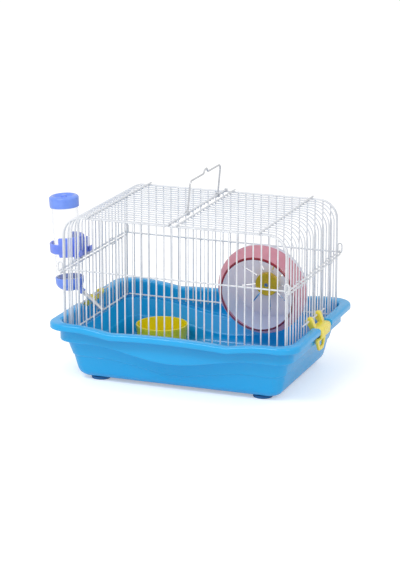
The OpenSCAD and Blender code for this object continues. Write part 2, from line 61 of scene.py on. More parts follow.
# %% Faces of a grid, merged and turned outwards
def grid_faces(rows, cols, wrap_rows=False):
    """Quads of a grid whose points are numbered row by row, each row being a closed ring. Each quad joins
    a point, the next one in its row, and the two above them. wrap_rows also joins the last row to the
    first."""
    r = np.arange(rows if wrap_rows else rows - 1)
    a, b = (x.ravel() for x in np.meshgrid(r, np.arange(cols), indexing="ij"))
    a2, b2 = (a + 1) % rows, (b + 1) % cols
    return np.stack([a * cols + b, a * cols + b2, a2 * cols + b2, a2 * cols + b], 1)


def weld(points, quads):
    """Merges points that lie within a micron, and turns a quad that lost one corner into a triangle."""
    keys = np.round(points * 1000).astype(np.int64)
    _, first, place = np.unique(keys, axis=0, return_index=True, return_inverse=True)
    place = place.reshape(-1)
    faces = place[quads]
    same = faces == np.roll(faces, -1, axis=1)
    lost = same.sum(1)
    corners = (same[lost == 1].argmax(1)[:, None] + np.array([1, 2, 3])) % 4
    triangles = np.take_along_axis(faces[lost == 1], corners, axis=1)
    return points[first], [faces[lost == 0], triangles], place


def outward(points, faces):
    """Turns every face over if the closed surface has a negative volume, which is a sixth of the sum of
    corner . (next corner x the one after) over the triangles that each face fans into."""
    volume = sum(
        float(np.einsum("ij,ij->", points[f[:, 0]], np.cross(points[f[:, k]], points[f[:, k + 1]])))
        for f in faces if len(f) for k in range(1, f.shape[1] - 1)
    )
    return faces if volume > 0 else [f[:, ::-1] for f in faces]


def surface(grid, wrap_rows=False, caps=False):
    """A part (points in millimetres, list of face arrays) from a grid of points. caps closes the first
    and the last row with one flat face each, in which a point that comes twice in a row counts once."""
    rows, cols = grid.shape[:2]
    points, faces, place = weld(grid.reshape(-1, 3), grid_faces(rows, cols, wrap_rows))
    if caps:
        for ring in (place[cols - 1::-1], place[-cols:]):
            faces.append(ring[ring != np.roll(ring, 1)][None])
    return points, outward(points, faces)


# %% Rounded corners for any line or grid
def soften(points, reach, steps=3, closed=False):
    """Rounds the corners of a line of points, or of every line down the columns of a grid. The curve
    leaves a corner's sides `reach` away from it, or nearer on short sides, and bends as
    (1-t)^2 start + 2t(1-t) corner + t^2 end."""
    p = np.asarray(points, float)
    before, after = np.roll(p, 1, 0) - p, np.roll(p, -1, 0) - p
    b = np.maximum(np.linalg.norm(before, axis=-1, keepdims=True), 1e-9)
    a = np.maximum(np.linalg.norm(after, axis=-1, keepdims=True), 1e-9)
    d = np.minimum(reach, 0.46 * np.minimum(a, b))
    start, end = p + before / b * d, p + after / a * d
    t = np.linspace(0, 1, steps + 1).reshape((-1,) + (1,) * p.ndim)
    curve = np.swapaxes((1 - t) ** 2 * start + 2 * t * (1 - t) * p + t**2 * end, 0, 1)
    if closed:
        return curve.reshape((-1,) + p.shape[1:])
    return np.concatenate([p[:1], curve[1:-1].reshape((-1,) + p.shape[1:]), p[-1:]])


# %% Wires, turned parts, rounded blocks and rounded plates
def tube(path, radius, side, sides=10, closed=False):
    """A round wire. At each point of the path a circle is spanned by `side`, which is square to the whole
    path, and by the path's direction x side. An open wire ends in domes: circles of radius r sin(f), set
    r (1 - cos(f)) in from the end, for f from 0 to a quarter turn."""
    p = np.asarray(path, float)
    side = np.asarray(side, float) / np.linalg.norm(side)
    if closed:
        along = np.roll(p, -1, 0) - np.roll(p, 1, 0)
    else:
        along = np.gradient(p, axis=0)
    along /= np.linalg.norm(along, axis=1, keepdims=True)
    size = np.full(len(p), float(radius))
    if not closed:
        f = np.linspace(0, np.pi / 2, 4)
        inset = radius * (1 - np.cos(f))[:, None]
        p = np.concatenate([p[0] + along[0] * inset, p[1:-1], (p[-1] - along[-1] * inset)[::-1]])
        size = np.concatenate([radius * np.sin(f), size[1:-1], radius * np.sin(f)[::-1]])
        along = np.concatenate([np.repeat(along[:1], 4, 0), along[1:-1], np.repeat(along[-1:], 4, 0)])
    a = np.linspace(0, 2 * np.pi, sides, endpoint=False)
    ring = np.cos(a)[None, :, None] * side + np.sin(a)[None, :, None] * np.cross(along, side)[:, None]
    return surface(p[:, None] + size[:, None, None] * ring, wrap_rows=closed)


def lathe(profile, spot, steps=64, closed=False, ripple=None):
    """Turns a side outline of (radius r, height h) about an axis: (r cos a, r sin a, h) for every angle
    a. ripple(a) multiplies the radius. `spot` then carries the points to where the part belongs."""
    r, h = np.asarray(profile, float).T
    a = np.linspace(0, 2 * np.pi, steps, endpoint=False)
    wave = np.ones_like(a) if ripple is None else ripple(a)
    grid = np.stack([
        np.outer(r, np.cos(a) * wave), np.outer(r, np.sin(a) * wave), np.repeat(h[:, None], steps, 1)
    ], -1)
    return surface(carry(grid, spot), wrap_rows=closed)


def block(low, high, edge, spot=None, steps=3):
    """A box with round edges: every point of a sphere of radius `edge`, moved out to the corner of the
    smaller box that its direction's signs choose. The sphere's grid has each octant's border twice."""
    low, high = np.asarray(low, float), np.asarray(high, float)
    core, middle = (high - low) / 2 - edge, (low + high) / 2
    q = np.linspace(0, np.pi / 2, steps + 1)
    a = np.concatenate([q + k * np.pi / 2 for k in range(4)])
    sx = np.repeat([1, -1, -1, 1], steps + 1)
    sy = np.repeat([1, 1, -1, -1], steps + 1)
    b = np.concatenate([q - np.pi / 2, q])
    sz = np.repeat([-1, 1], steps + 1)
    x = np.cos(b)[:, None] * np.cos(a) * edge + sx * core[0]
    y = np.cos(b)[:, None] * np.sin(a) * edge + sy * core[1]
    z = np.repeat((np.sin(b) * edge + sz * core[2])[:, None], len(a), 1)
    grid = np.stack([x, y, z], -1) + middle
    return surface(carry(grid, spot) if spot else grid, caps=True)


def plate(outline, thickness, edge, spot, steps=3):
    """A flat plate with round edges. The outline lies in X and Y. Its rings climb in Z from 0 to the
    thickness, and near both faces they shrink along the outline's own normals by edge (1 - cos f) while
    they rise by edge sin f."""
    p = np.asarray(outline, float)
    run = np.roll(p, -1, 0) - np.roll(p, 1, 0)
    normal = np.stack([run[:, 1], -run[:, 0]], 1) / np.linalg.norm(run, axis=1, keepdims=True)
    area = np.sum(p[:, 0] * np.roll(p[:, 1], -1) - np.roll(p[:, 0], -1) * p[:, 1])
    normal *= np.sign(area)
    f = np.linspace(0, np.pi / 2, steps + 1)
    inset = np.concatenate([edge * (1 - np.sin(f)), edge * (1 - np.sin(f))[::-1]])
    level = np.concatenate([edge * (1 - np.cos(f)), thickness - edge * (1 - np.cos(f))[::-1]])
    grid = p[None] - inset[:, None, None] * normal
    grid = np.concatenate([grid, np.repeat(level[:, None, None], len(p), 1)], -1)
    return surface(carry(grid, spot), caps=True)


# %% Carrying, repeating and mirroring parts
def spot_at(origin, x=(1, 0, 0), y=(0, 1, 0), z=(0, 0, 1)):
    """A place and its three directions: a point (a, b, c) goes to origin + a x + b y + c z."""
    return np.asarray(origin, float), np.array([x, y, z], float)


def carry(points, spot):
    origin, axes = spot
    return origin + np.asarray(points, float) @ axes


def repeated(part, offsets):
    """Copies of one part, each moved by one row of offsets."""
    points, faces = part
    offsets = np.asarray(offsets, float).reshape(-1, 3)
    step = np.arange(len(offsets)) * len(points)
    moved = (offsets[:, None] + points[None]).reshape(-1, 3)
    return moved, [(f[None] + step[:, None, None]).reshape(-1, f.shape[1]) for f in faces]


def mirrored(part, axis):
    """The part's mirror image through the middle plane square to an axis, turned right side out again."""
    points, faces = part
    flip = np.ones(3)
    flip[axis] = -1
    return points * flip, [f[:, ::-1] for f in faces]


# %% From parts to a Blender piece
made = {}


def piece(name, parts, material, body, stands_for=(), sharp=40):
    """Joins parts into one mesh in metres, smooth except at edges sharper than `sharp` degrees, gives it
    its material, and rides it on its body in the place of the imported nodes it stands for."""
    points, faces, count = [], [], 0
    for p, fs in parts:
        points.append(p)
        faces += [row for f in fs for row in (f + count).tolist()]
        count += len(p)
    mesh = bpy.data.meshes.new(name)
    mesh.from_pydata((np.concatenate(points) * MM + [MID_X, 0, 0]).tolist(), [], faces)
    mesh.shade_smooth()
    mesh.set_sharp_from_angle(angle=np.radians(sharp))
    mesh.materials.append(material)
    o = bpy.data.objects.new(name, mesh)
    bpy.context.scene.collection.objects.link(o)
    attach(o, body)
    if stands_for:
        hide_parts(*stands_for)
    made[name] = len(faces)
    return o


def dress(node, material):
    """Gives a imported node, whose shape is right as it is, its finish."""
    o = frame["nodes"][node]
    o.data.materials.clear()
    o.data.materials.append(material)


# %% [markdown]
# ## Shared finishes
# Moulded plastic is never one flat colour. It has slow changes of shade where the melt ran, a very fine
# grain from the mould, patches that are a little duller from handling, and paler edges where it rubs.
# Several plastics here need the same effect, so it is one node group with its own inputs. The group puts
# out a colour, a roughness and a normal, and each material keeps its own shader.

# %% A small kit for node trees
def group(name, inputs, outputs):
    """A node group with named sockets: (name, kind, first value) for inputs, (name, kind) for outputs."""
    tree = bpy.data.node_groups.new(name, "ShaderNodeTree")
    for title, kind, value in inputs:
        socket = tree.interface.new_socket(title, in_out="INPUT", socket_type=f"NodeSocket{kind}")
        socket.default_value = value
    for title, kind in outputs:
        tree.interface.new_socket(title, in_out="OUTPUT", socket_type=f"NodeSocket{kind}")
    return tree, tree.nodes.new("NodeGroupInput"), tree.nodes.new("NodeGroupOutput")


def add(tree, kind, links=(), **values):
    """A new node. Values that name a socket set it, others set a property, and links join sockets."""
    n = tree.nodes.new(f"ShaderNode{kind}")
    for key, value in values.items():
        title = key.replace("_", " ")
        if title in n.inputs:
            n.inputs[title].default_value = value
        else:
            setattr(n, key, value)
    for source, target in links:
        tree.links.new(source, n.inputs[target])
    return n


def blend_colour(tree, share, low, high, kind="MIX"):
    """A colour mix: sockets are linked, and plain colours are set."""
    n = tree.nodes.new("ShaderNodeMix")
    n.data_type, n.blend_type = "RGBA", kind
    for at_index, value in ((0, share), (6, low), (7, high)):
        if isinstance(value, bpy.types.NodeSocket):
            tree.links.new(value, n.inputs[at_index])
        else:
            n.inputs[at_index].default_value = value
    return n.outputs[2]


def spread(tree, source, low, high, to_low, to_high):
    """Maps a value's range onto another; the ends may be numbers or sockets."""
    n = tree.nodes.new("ShaderNodeMapRange")
    tree.links.new(source, n.inputs[0])
    for at_index, value in ((1, low), (2, high), (3, to_low), (4, to_high)):
        if isinstance(value, bpy.types.NodeSocket):
            tree.links.new(value, n.inputs[at_index])
        else:
            n.inputs[at_index].default_value = value
    return n.outputs[0]


# %% The moulded skin
skin_tree, skin_in, skin_out = group(
    "moulded_skin",
    [("Colour", "Color", (0.5, 0.5, 0.5, 1)), ("Deep Colour", "Color", (0.4, 0.4, 0.4, 1)),
     ("Patch Scale", "Float", 12.0), ("Grain Scale", "Float", 900.0), ("Grain Depth", "Float", 0.1),
     ("Smooth", "Float", 0.15), ("Dull", "Float", 0.3), ("Wear", "Float", 0.3)],
    [("Colour", "Color"), ("Roughness", "Float"), ("Normal", "Vector")])
place = add(skin_tree, "TexCoord").outputs["Object"]
flow = add(skin_tree, "TexNoise", [(place, "Vector"), (skin_in.outputs["Patch Scale"], "Scale")],
           Detail=3.0, Roughness=0.55)
flow_share = spread(skin_tree, flow.outputs["Fac"], 0.35, 0.68, 0.0, 1.0)
body_colour = blend_colour(skin_tree, flow_share, skin_in.outputs["Colour"], skin_in.outputs["Deep Colour"])
edge = add(skin_tree, "NewGeometry").outputs["Pointiness"]
edge_share = spread(skin_tree, edge, 0.52, 0.6, 0.0, skin_in.outputs["Wear"])
rub = add(skin_tree, "TexNoise", [(place, "Vector")], Scale=160.0, Detail=4.0)
rub_share = add(skin_tree, "Math", [(edge_share, 0), (rub.outputs["Fac"], 1)], operation="MULTIPLY")
pale = blend_colour(skin_tree, 0.55, skin_in.outputs["Colour"], (1, 1, 1, 1))
worn_colour = blend_colour(skin_tree, rub_share.outputs[0], body_colour, pale)
skin_tree.links.new(worn_colour, skin_out.inputs["Colour"])
handled = add(skin_tree, "TexNoise", [(place, "Vector")], Scale=38.0, Detail=5.0, Roughness=0.6)
skin_tree.links.new(
    spread(skin_tree, handled.outputs["Fac"], 0.4, 0.7, skin_in.outputs["Smooth"], skin_in.outputs["Dull"]),
    skin_out.inputs["Roughness"])
grain = add(skin_tree, "TexNoise", [(place, "Vector"), (skin_in.outputs["Grain Scale"], "Scale")],
            Detail=2.0)
raised = add(skin_tree, "Bump",
             [(grain.outputs["Fac"], "Height"), (skin_in.outputs["Grain Depth"], "Strength")],
             Distance=0.0002)
skin_tree.links.new(raised.outputs["Normal"], skin_out.inputs["Normal"])
print("group", skin_tree.name, "with", len(skin_tree.nodes), "nodes")

# %% Fine dust that settles on faces that look up
dust_tree, dust_in, dust_out = group(
    "settled_dust", [("Amount", "Float", 0.1), ("Speck Scale", "Float", 700.0)], [("Mask", "Float")])
up = add(dust_tree, "SeparateXYZ", [(add(dust_tree, "NewGeometry").outputs["Normal"], 0)]).outputs["Z"]
up_share = spread(dust_tree, up, 0.55, 0.95, 0.0, dust_in.outputs["Amount"])
dust_place = add(dust_tree, "TexCoord").outputs["Object"]
specks = add(dust_tree, "TexNoise", [(dust_place, "Vector"), (dust_in.outputs["Speck Scale"], "Scale")],
             Detail=4.0, Roughness=0.7)
speck_share = spread(dust_tree, specks.outputs["Fac"], 0.45, 0.7, 0.0, 1.0)
dusty = add(dust_tree, "Math", [(up_share, 0), (speck_share, 1)], operation="MULTIPLY")
dust_tree.links.new(dusty.outputs[0], dust_out.inputs["Mask"])


# %% Materials in moulded plastic
def moulded(name, colour, deep, patch=12.0, grain=900.0, depth=0.1, smooth=0.15, dull=0.3, wear=0.3,
            dust=0.05, **shader):
    """A plastic: the moulded skin feeds the shader's colour, roughness and normal, and dust lightens it.
    Values that are the same all over, such as the coat or the light that goes through, are set straight
    on the shader by their socket's name."""
    m = bpy.data.materials.new(name)
    m.use_nodes = True
    tree = m.node_tree
    tree.nodes.clear()
    out = tree.nodes.new("ShaderNodeOutputMaterial")
    bsdf = tree.nodes.new("ShaderNodeBsdfPrincipled")
    tree.links.new(bsdf.outputs[0], out.inputs[0])
    skin = tree.nodes.new("ShaderNodeGroup")
    skin.node_tree = skin_tree
    for title, value in (("Colour", (*colour, 1)), ("Deep Colour", (*deep, 1)), ("Patch Scale", patch),
                         ("Grain Scale", grain), ("Grain Depth", depth), ("Smooth", smooth), ("Dull", dull),
                         ("Wear", wear)):
        skin.inputs[title].default_value = value
    settle = tree.nodes.new("ShaderNodeGroup")
    settle.node_tree = dust_tree
    settle.inputs["Amount"].default_value = dust
    powder = blend_colour(tree, settle.outputs["Mask"], skin.outputs["Colour"], (0.8, 0.79, 0.77, 1))
    tree.links.new(powder, bsdf.inputs["Base Color"])
    tree.links.new(skin.outputs["Roughness"], bsdf.inputs["Roughness"])
    tree.links.new(skin.outputs["Normal"], bsdf.inputs["Normal"])
    for key, value in shader.items():
        bsdf.inputs[key.replace("_", " ")].default_value = value
    return m


tub_blue = moulded("tub_blue", (0.009, 0.385, 0.79), (0.007, 0.36, 0.755), patch=7.0, grain=1400.0,
                   depth=0.08, smooth=0.16, dull=0.26, wear=0.15, dust=0.012, Coat_Weight=0.2,
                   Coat_Roughness=0.06, Specular_IOR_Level=0.4)
latch_yellow = moulded("latch_yellow", (0.88, 0.74, 0.06), (0.82, 0.67, 0.045), patch=60.0, depth=0.1,
                       smooth=0.18, dull=0.32, wear=0.5, Subsurface_Weight=0.08, Subsurface_Scale=0.004)
bowl_yellow = moulded("bowl_yellow", (0.82, 0.70, 0.008), (0.75, 0.63, 0.006), patch=30.0, depth=0.08,
                      smooth=0.15, dull=0.28, wear=0.35)
hub_yellow = moulded("hub_yellow", (0.78, 0.60, 0.01), (0.66, 0.48, 0.008), patch=80.0, depth=0.15,
                     smooth=0.2, dull=0.35, wear=0.35)
clip_blue = moulded("clip_blue", (0.17, 0.27, 0.88), (0.13, 0.22, 0.8), patch=50.0, depth=0.1,
                    smooth=0.16, dull=0.3, wear=0.4, Subsurface_Weight=0.06, Subsurface_Scale=0.004)
cap_blue = moulded("cap_blue", (0.17, 0.31, 0.88), (0.13, 0.25, 0.8), patch=45.0, depth=0.06,
                   smooth=0.1, dull=0.24, wear=0.35, Coat_Weight=0.2, Coat_Roughness=0.08)
pad_rubber = moulded("pad_rubber", (0.012, 0.15, 0.38), (0.009, 0.12, 0.32), patch=40.0, grain=600.0,
                     depth=0.5, smooth=0.55, dull=0.8, wear=0.2)
seal_rubber = moulded("seal_rubber", (0.66, 0.68, 0.8), (0.58, 0.6, 0.74), depth=0.3, smooth=0.4, dull=0.6,
                      wear=0.1, dust=0.0, Subsurface_Weight=0.2, Subsurface_Scale=0.004)
lip_red = moulded("lip_red", (0.28, 0.01, 0.025), (0.2, 0.006, 0.016), patch=40.0, depth=0.06, smooth=0.12,
                  dull=0.25, wear=0.25, dust=0.0)

# %% [markdown]
# ## Plastics that light goes through
# The wheel's front half is a clear pink, its back half a frosted white that the tub's blue shows through,
# and the bottle is clear. All three let a share of the light straight through. The share falls where the
# wall is seen edge on, because the line of sight then runs through more plastic. That gives the bottle
# its faint outline and the wheel its denser rim.

# %% The wheel's two see-through plastics, and the clear bottle
wheel_pink = moulded("wheel_pink", (0.86, 0.36, 0.42), (0.8, 0.29, 0.36), patch=26.0, grain=500.0,
                     depth=0.05, smooth=0.08, dull=0.2, wear=0.1, dust=0.0,
                     Coat_Weight=0.4, Coat_Roughness=0.04)
wheel_white = moulded("wheel_white", (0.94, 0.94, 0.99), (0.89, 0.9, 0.97), patch=22.0, grain=700.0,
                      depth=0.1, smooth=0.16, dull=0.32, wear=0.1, dust=0.0,
                      Coat_Weight=0.2, Coat_Roughness=0.06)
bottle_clear = moulded("bottle_clear", (0.95, 0.96, 0.98), (0.9, 0.92, 0.96), patch=30.0, grain=300.0,
                       depth=0.04, smooth=0.03, dull=0.1, wear=0.0, dust=0.0)


def see_through(m, straight, glancing, power):
    """How much of the surface is seen, from straight on to edge on: the share rises with the view's
    slant, raised to a power."""
    tree = m.node_tree
    slant = add(tree, "LayerWeight", Blend=0.5).outputs["Facing"]
    bent = add(tree, "Math", [(slant, 0)], operation="POWER")
    bent.inputs[1].default_value = power
    share = spread(tree, bent.outputs[0], 0.0, 1.0, straight, glancing)
    shader = next(n for n in tree.nodes if n.type == "BSDF_PRINCIPLED")
    tree.links.new(share, shader.inputs["Alpha"])


def let_light_in(m, share, colour):
    """The plastic glows with the light that falls on its other side: a share of the shader becomes
    a translucent one."""
    tree = m.node_tree
    out = next(n for n in tree.nodes if n.type == "OUTPUT_MATERIAL")
    shader = next(n for n in tree.nodes if n.type == "BSDF_PRINCIPLED")
    glow = add(tree, "BsdfTranslucent", Color=(*colour, 1))
    both = add(tree, "MixShader", [(shader.outputs[0], 1), (glow.outputs[0], 2)], Fac=share)
    tree.links.new(both.outputs[0], out.inputs["Surface"])


see_through(wheel_pink, 0.45, 0.85, 1.5)
see_through(wheel_white, 0.74, 0.95, 1.0)
see_through(bottle_clear, 0.06, 0.42, 3.0)
let_light_in(wheel_white, 0.5, (0.97, 0.97, 1.0))
let_light_in(wheel_pink, 0.3, (0.98, 0.56, 0.62))
print("see-through:", [m.name for m in (wheel_pink, wheel_white, bottle_clear)])

# %% [markdown]
# ## Coated wire and bare steel
# The wires have a white powder coat, which bakes to a soft gloss with a faint orange-peel surface and
# slightly greyer patches. The handle's coat is light grey with a little metal in it. The spout and the
# axle are bare steel, and their fine lines are a noise stretched roughly along each part.

# %% Wire coats
wire_white = moulded("wire_white", (0.76, 0.78, 0.81), (0.67, 0.69, 0.73), patch=90.0, grain=1500.0,
                     depth=0.35, smooth=0.22, dull=0.4, wear=0.0, dust=0.0)
handle_grey = moulded("handle_grey", (0.62, 0.63, 0.65), (0.54, 0.55, 0.58), patch=70.0, grain=1300.0,
                      depth=0.3, smooth=0.22, dull=0.38, wear=0.1, dust=0.0, Metallic=0.25)


# %% Steels
def steel(name, colour, low, high, stretch):
    """Bare metal: a noise stretched along one direction gives its roughness and its fine lines."""
    m = bpy.data.materials.new(name)
    m.use_nodes = True
    tree = m.node_tree
    bsdf = tree.nodes["Principled BSDF"]
    bsdf.inputs["Metallic"].default_value = 1.0
    turned = add(tree, "Mapping", [(add(tree, "TexCoord").outputs["Object"], "Vector")], Scale=stretch)
    lines = add(tree, "TexNoise", [(turned.outputs[0], "Vector")], Scale=900.0, Detail=3.0)
    tree.links.new(spread(tree, lines.outputs["Fac"], 0.3, 0.7, low, high), bsdf.inputs["Roughness"])
    tone = spread(tree, lines.outputs["Fac"], 0.3, 0.7, 0.0, 1.0)
    dark = tuple(c * 0.8 for c in colour)
    tree.links.new(blend_colour(tree, tone, (*colour, 1), (*dark, 1)), bsdf.inputs["Base Color"])
    bump = add(tree, "Bump", [(lines.outputs["Fac"], "Height")], Strength=0.15, Distance=0.0001)
    tree.links.new(bump.outputs["Normal"], bsdf.inputs["Normal"])
    return m


spout_steel = steel("spout_steel", (0.78, 0.78, 0.79), 0.2, 0.38, (0.2, 1.0, 0.2))
pin_steel = steel("pin_steel", (0.5, 0.5, 0.52), 0.2, 0.4, (1.0, 0.2, 1.0))
print("materials:", len(bpy.data.materials))

# %% [markdown]
# ## The tub
# The tub is one skin. A ring of points goes round it in plan, and a list of rings runs from the middle of
# the underside, up the outside, over the rolled rim, down the inside and onto the floor. Each ring has
# its own distance in from the rim and its own height. Along the long sides the rim falls from both ends
# to a low place and arches up between the two, and the ledge and the crease sag towards the middle.
# The rim also steps in and down at each end, where the latch sits. Last, every ring that is a corner is
# rounded by its own reach.

# %% The tub's plan and the curves of its rim
RIM_X, RIM_Y, RIM_Z = 186.6, 139.6, 88.0
fine = np.linspace(19.5, 30, 22)
NOTCH_Y = np.unique(np.round(np.concatenate([np.linspace(-70, 70, 29), fine, -fine]), 3))
CORNER = np.linspace(0, np.pi / 2, 15)[1:-1]


def plan(inset):
    """The tub's outline that far in from the rim, counter-clockwise: the front, a round corner of radius
    30 - 0.4 inset (10 at least), the right end, and so on. Also says which points are on a long side."""
    x, y = RIM_X - inset, RIM_Y - inset
    r = max(30 - 0.4 * inset, 10)
    run = np.linspace(r - x, x - r, 105)
    long = np.stack([run, np.full_like(run, -y)], 1)
    short = np.stack([np.full_like(NOTCH_Y, x), NOTCH_Y], 1)
    turn = np.stack([x - r + r * np.sin(CORNER), r - y - r * np.cos(CORNER)], 1)
    half = np.concatenate([long, turn, short, (turn * [1, -1])[::-1]])
    on_long = np.concatenate([np.ones(len(long)), np.zeros(len(half) - len(long))])
    return np.concatenate([half, -half]), np.tile(on_long, 2)


def rim_dip(x):
    """How far the rim's line lies below its ends. It falls as ((140 - |x|) / 52.8)^1.5 to its lowest
    place at |x| = 87.2, and between the two lowest places it is a shallow arch in the square of x."""
    x = np.abs(x)
    return np.where(x > 140, 0, np.where(
        x > 87.2, 6.5 * (np.clip(140 - x, 0, None) / 52.8) ** 1.5, 3.7 + 2.8 * (x / 87.2) ** 2))


def sag(x, reach):
    """A bell: cos squared, 1 in the middle and 0 from reach outwards."""
    return np.cos(np.pi / 2 * np.clip(x / reach, -1, 1)) ** 2


def wall_in(z):
    return 32 - 11 * (z - 19) / 38


def ring(inset, z, kind="", sloped=False):
    """One ring of the skin. A sloped ring slides out along the leaning wall where its line sags."""
    p, on_long = plan(inset)
    x, y = p.T
    step = np.clip((26.5 - np.abs(y)) / 3, 0, 1) * (np.abs(x) > 100)
    step = step * step * (3 - 2 * step)
    dip = {"rim": -rim_dip(x) - 5 * step, "ledge": -16 * sag(x, 125), "crease": -14 * sag(x, 110)}
    level = z + dip.get(kind, np.zeros_like(x))
    slide = (wall_in(level) - wall_in(z)) * on_long if sloped else 0
    back = 4 * step if kind == "rim" and inset < 5 else 0
    return np.stack([x - np.sign(x) * back, y - np.sign(y) * slide, level], 1)


# %% The tub's skin
bend = np.radians([0, 30, 60, 90])
rows = [(ring(47 - 15 * np.sin(a), 4 + 15 * (1 - np.cos(a))), 4) for a in bend]
rows += [
    (ring(wall_in(36.5) + 1.2, 36.5, "crease", True), 0.6), (ring(wall_in(38), 38, "crease", True), 0.6),
    (ring(wall_in(59), 59, "ledge", True), 1), (ring(wall_in(60) - 1.5, 60, "ledge"), 1),
    (ring(13, 60, "ledge"), 1), (ring(12, 61, "ledge"), 1), (ring(12, RIM_Z - 3, "rim"), 1),
    (ring(3.2, RIM_Z - 3, "rim"), 1.2), (ring(3.2, RIM_Z - 9, "rim"), 1.4), (ring(0, RIM_Z - 9, "rim"), 1.4),
    (ring(0, RIM_Z, "rim"), 4.1), (ring(15, RIM_Z, "rim"), 4.5), (ring(15, 64, "ledge"), 1),
    (ring(16, 63, "ledge"), 1), (ring(wall_in(60) + 2, 63, "ledge"), 1.5),
    (ring(wall_in(60) + 3, 62, "ledge"), 1.5), (ring(wall_in(38) + 3, 38, "crease", True), 0.6),
    (ring(wall_in(36.5) + 4.2, 36.5, "crease", True), 0.6),
]
rows += [(ring(47 - 12 * np.sin(a), 7 + 12 * (1 - np.cos(a))), 4) for a in bend[::-1]]
skin_rings = soften(np.stack([r for r, _ in rows]), np.array([d for _, d in rows])[:, None, None], steps=4)
piece("tub_moulding", [surface(skin_rings, caps=True)], tub_blue, "cage", ["tub"])
print("tub_moulding:", made["tub_moulding"], "faces")

# %% [markdown]
# The four feet are soft pads with a rounded lower edge.

# %% Feet
pad = lathe(soften([(0, 0), (14, 0), (14, 4), (0, 4)], 1.1), spot_at((0, 0, 0)), steps=48)
feet = [(sx * 122, sy * 84, 0) for sx in (-1, 1) for sy in (-1, 1)]
piece("foot_pads", [repeated(pad, feet)], pad_rubber, "cage", ["tub_feet"])
print("foot_pads:", made["foot_pads"], "faces")

# %% [markdown]
# ## The wire top
# Every wire is a circle swept along its own path, and its cut ends are domes. Where two wires cross, a
# small bead fills the gap between them: that is the weld. The thin upright wires lie outside the stout
# cross wires, so the panels have a real front and a real back.

# %% The front and the back panel
X, Y, Z = np.eye(3)
OUT_X, OUT_Z, OUT_R = 164.4, 238.4, 27.4
HALF_Y, INNER_Y, LOW_Z, MID_Z, TOP_Z = 117.0, 114.71, 68.0, 163.0, 239.0
STOUT, LAYER = 1.25, 2.29
upright_x = np.arange(1, 28) * 330 / 28 - 165


def outline_top(x):
    """Height of the bent frame wire above x: level in the middle, a quarter circle at each end."""
    over = np.clip(np.abs(x) - (OUT_X - OUT_R), 0, OUT_R)
    return OUT_Z - OUT_R + np.sqrt(OUT_R**2 - over**2)


def beads(spots, radius=1.3):
    """Weld beads: balls of few faces, one at each place in the list."""
    f = np.linspace(0, np.pi, 6)
    ball = lathe(np.stack([radius * np.sin(f), -radius * np.cos(f)], 1), spot_at((0, 0, 0)), steps=7)
    return repeated(ball, spots)


upright_path = [[(x, -HALF_Y, 63.1), (x, -HALF_Y, outline_top(x) + 1)] for x in upright_x]
uprights = [tube(p, 1, X, sides=8) for p in upright_path]
cross = [tube([(-161.8, -INNER_Y, z), (161.8, -INNER_Y, z)], STOUT, Z) for z in (LOW_Z, MID_Z)]
weld_y = -(HALF_Y + INNER_Y) / 2
welds = [(x, weld_y, z) for x in upright_x for z in (LOW_Z, MID_Z, outline_top(x))]
for name, axis, node in (("front_wires", None, "front_panel"), ("back_wires", 1, "back_panel")):
    parts = uprights + cross + [beads(welds)]
    placed = parts if axis is None else [mirrored(p, axis) for p in parts]
    piece(name, placed, wire_white, "cage", [node])
print("front_wires:", made["front_wires"], "faces")

# %% The bent frame wires of the two panels
q = np.linspace(0, np.pi / 2, 12)
right = np.stack([OUT_X - OUT_R + OUT_R * np.cos(q), OUT_Z - OUT_R + OUT_R * np.sin(q)], 1)
bow = np.concatenate([[(OUT_X, 66)], right, (right * [-1, 1])[::-1], [(-OUT_X, 66)]])
bow_wire = tube(np.insert(bow, 1, -INNER_Y, axis=1), STOUT, Y, sides=12)
piece("front_frame_wire", [bow_wire], wire_white, "cage", ["front_outline"])
piece("back_frame_wire", [mirrored(bow_wire, 1)], wire_white, "cage", ["back_outline"])
print("front_frame_wire:", made["front_frame_wire"], "faces")

# %% The two ends and the two roof halves
END_X, HINGE_X, PITCH = 165.0, 167.29, 12.1
row_y = np.arange(-9, 10) * PITCH
post = tube([(END_X, 0, 63.1), (END_X, 0, 159.5)], 1, Y, sides=8)
end_parts = [
    repeated(post, [(0, y, 0) for y in row_y]),
    tube([(HINGE_X, -121, 158), (HINGE_X, 121, 158)], STOUT, X, sides=12),
    tube([(END_X - LAYER, -113, LOW_Z), (END_X - LAYER, 113, LOW_Z)], STOUT, X, sides=12),
    beads([(END_X + s * LAYER / 2, y, z) for y in row_y for s, z in ((1, 158), (-1, LOW_Z))]),
]
hoop_line = np.stack([137 + 28 * np.sin(q), 0 * q, 211 + 28 * np.cos(q)], 1)
hoop = tube(np.concatenate([[(5, 0, TOP_Z)], hoop_line, [(END_X, 0, 162)]]), 1, Y, sides=8)
ROOF_WIRE = TOP_Z + LAYER
roof_parts = [
    repeated(hoop, [(0, y, 0) for y in row_y]),
    tube([(HINGE_X, -121, MID_Z), (HINGE_X, 121, MID_Z)], STOUT, X, sides=12),
    *(tube([(x, -119, ROOF_WIRE), (x, 119, ROOF_WIRE)], STOUT, X, sides=12) for x in (6, 126)),
    beads([(x, y, TOP_Z + LAYER / 2) for y in row_y for x in (6, 126)]
          + [(END_X + LAYER / 2, y, MID_Z) for y in row_y]),
]
turned = [mirrored(p, 0) for p in end_parts]
piece("right_end_wires", end_parts, wire_white, "cage", ["right_lower_end"])
piece("left_end_wires", turned, wire_white, "cage", ["left_lower_end"])
piece("right_roof_wires", roof_parts, wire_white, "roof_door", ["right_roof_half"])
piece("left_roof_wires", [mirrored(p, 0) for p in roof_parts], wire_white, "cage",
      ["left_roof_half"])
print("right_roof_wires:", made["right_roof_wires"], "faces")

